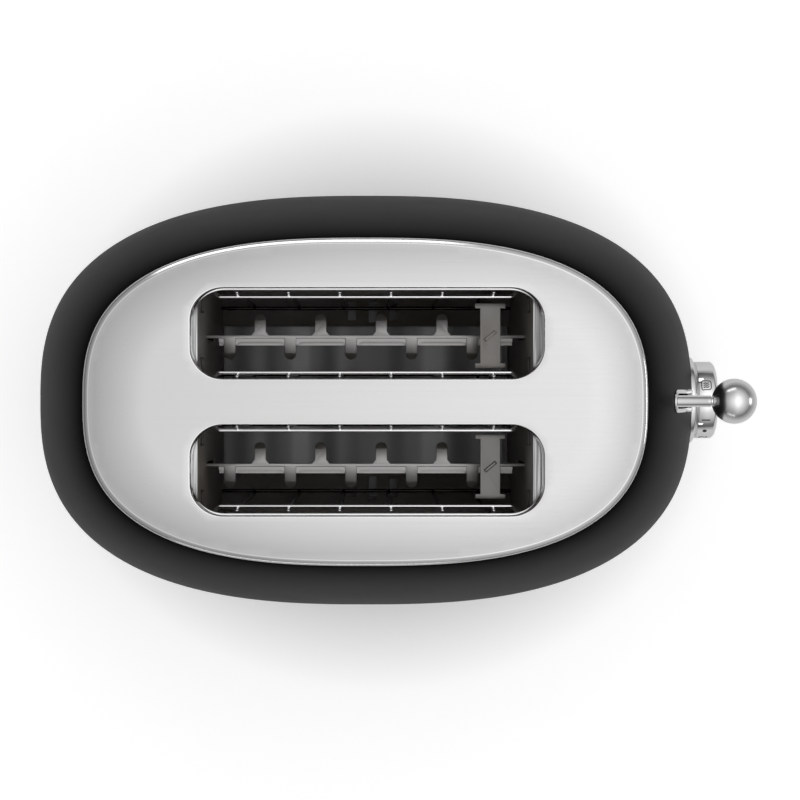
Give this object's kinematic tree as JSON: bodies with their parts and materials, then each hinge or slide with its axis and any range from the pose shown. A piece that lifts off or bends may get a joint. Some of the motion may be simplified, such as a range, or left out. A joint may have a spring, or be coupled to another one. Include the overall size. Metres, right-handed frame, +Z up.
{
  "type": "two-slice toaster",
  "caption": "Two-slice pop-up toaster with an oval enamelled case, domed steel top plate, side lever with a ball knob, browning dial and pull-out crumb tray",
  "frame": {"origin": "On the table under the middle of the toaster's overall length, ball knob included, midway between its long sides", "axes": "+X towards the end with the lever and the dial, +Y to the left of that direction, +Z up"},
  "size_m": [0.3258, 0.195, 0.198],
  "materials": {
    "black_enamel": "gloss",
    "plate_steel": "fine brushed",
    "chrome_trim": "polished",
    "chrome_ball": "polished",
    "chrome_dial": "satin with polished rim",
    "galvanised_sheet": "zinc coated",
    "foot_rubber": "matte",
    "zinc_screws": "zinc plated",
    "chamber_steel": "aluminised, heat tinted",
    "dark_plastic": "matte",
    "magnet_iron": "ground",
    "spring_wire": "bright drawn",
    "guide_steel": "ground",
    "coil_copper": "enamelled winding",
    "board_green": "solder mask",
    "contact_brass": "bright",
    "pale_ceramic": "matte",
    "tray_steel": "satin",
    "mica_card": "mica, pearly",
    "nichrome": "oxidised",
    "guard_wire": "bright nickel",
    "rack_steel": "bright nickel"
  },
  "bodies": {
    "chassis": {"base_plate": "galvanised_sheet", "base_screws": "zinc_screws", "base_skirt": "chrome_trim", "board_components": "dark_plastic", "board_posts": "dark_plastic", "body_shell": "black_enamel", "cancel_switch": "dark_plastic", "chassis_screws": "zinc_screws", "contact_springs": "contact_brass", "control_board": "board_green", "control_pot": "dark_plastic", "cord_gland": "dark_plastic", "dial_bezel": "chrome_trim", "front_end_plate": "chamber_steel", "guide_rod": "guide_steel", "heater_board_inner_left": "mica_card", "heater_board_inner_right": "mica_card", "heater_board_outer_left": "mica_card", "heater_board_outer_right": "mica_card", "heater_ribbon_inner_left": "nichrome", "heater_ribbon_inner_right": "nichrome", "heater_ribbon_outer_left": "nichrome", "heater_ribbon_outer_right": "nichrome", "lever_trim": "chrome_trim", "magnet_coil": "coil_copper", "magnet_core": "magnet_iron", "magnet_shelf": "galvanised_sheet", "outer_reflector_left": "chamber_steel", "outer_reflector_right": "chamber_steel", "rear_end_plate": "chamber_steel", "rod_foot": "dark_plastic", "rod_mount": "galvanised_sheet", "rubber_feet": "foot_rubber", "switch_block": "dark_plastic", "terminal_block": "pale_ceramic", "top_plate": "plate_steel"},
    "carriage": {"carriage_bracket": "galvanised_sheet", "bread_rack_left": "rack_steel", "bread_rack_right": "rack_steel", "guard_spreader_left": "rack_steel", "guard_spreader_right": "rack_steel", "slide_bush": "dark_plastic", "armature_plate": "magnet_iron", "lever_rod": "chrome_trim", "lever_knob": "chrome_ball", "lift_spring": "spring_wire"},
    "guard_inner_left": {"bread_guard_inner_left": "guard_wire"},
    "guard_inner_right": {"bread_guard_inner_right": "guard_wire"},
    "guard_outer_left": {"bread_guard_outer_left": "guard_wire"},
    "guard_outer_right": {"bread_guard_outer_right": "guard_wire"},
    "dial": {"browning_dial": "chrome_dial", "dial_shaft": "dark_plastic"},
    "cancel": {"cancel_button": "chrome_dial", "cancel_stem": "dark_plastic"},
    "tray": {"crumb_tray": "tray_steel", "tray_pull": "chrome_trim"}
  },
  "joints": [
    {"name": "carriage_slide", "type": "slide", "parent": "chassis", "child": "carriage", "axis": [0, 0, 1], "range_m": [-0.052, 0], "stiffness_N_per_m": 80, "springref_m": 0.06, "deforming": ["lift_spring"]},
    {"name": "guard_outer_left_tilt", "type": "hinge", "parent": "chassis", "child": "guard_outer_left", "pos_m": [0, 0.04485, 0.034], "axis": [1, 0, 0], "range_deg": [0, 3]},
    {"name": "guard_inner_left_tilt", "type": "hinge", "parent": "chassis", "child": "guard_inner_left", "pos_m": [0, 0.01235, 0.034], "axis": [1, 0, 0], "range_deg": [-3, 0]},
    {"name": "guard_outer_right_tilt", "type": "hinge", "parent": "chassis", "child": "guard_outer_right", "pos_m": [0, -0.04485, 0.034], "axis": [1, 0, 0], "range_deg": [-3, 0]},
    {"name": "guard_inner_right_tilt", "type": "hinge", "parent": "chassis", "child": "guard_inner_right", "pos_m": [0, -0.01235, 0.034], "axis": [1, 0, 0], "range_deg": [0, 3]},
    {"name": "dial_turn", "type": "hinge", "parent": "chassis", "child": "dial", "pos_m": [0.15213, 0, 0.062], "axis": [1, 0, 0], "range_deg": [-270, 0]},
    {"name": "cancel_press", "type": "slide", "parent": "dial", "child": "cancel", "axis": [-1, 0, 0], "range_m": [0, 0.0015], "stiffness_N_per_m": 300, "springref_m": -0.002},
    {"name": "tray_slide", "type": "slide", "parent": "chassis", "child": "tray", "axis": [-1, 0, 0], "range_m": [0, 0.19]}
  ],
  "couplings": [
    {"joint": "guard_outer_left_tilt", "follows": "carriage_slide", "rad_per_m": -1.006},
    {"joint": "guard_inner_left_tilt", "follows": "carriage_slide", "rad_per_m": 1.006},
    {"joint": "guard_outer_right_tilt", "follows": "carriage_slide", "rad_per_m": 1.006},
    {"joint": "guard_inner_right_tilt", "follows": "carriage_slide", "rad_per_m": -1.006}
  ]
}
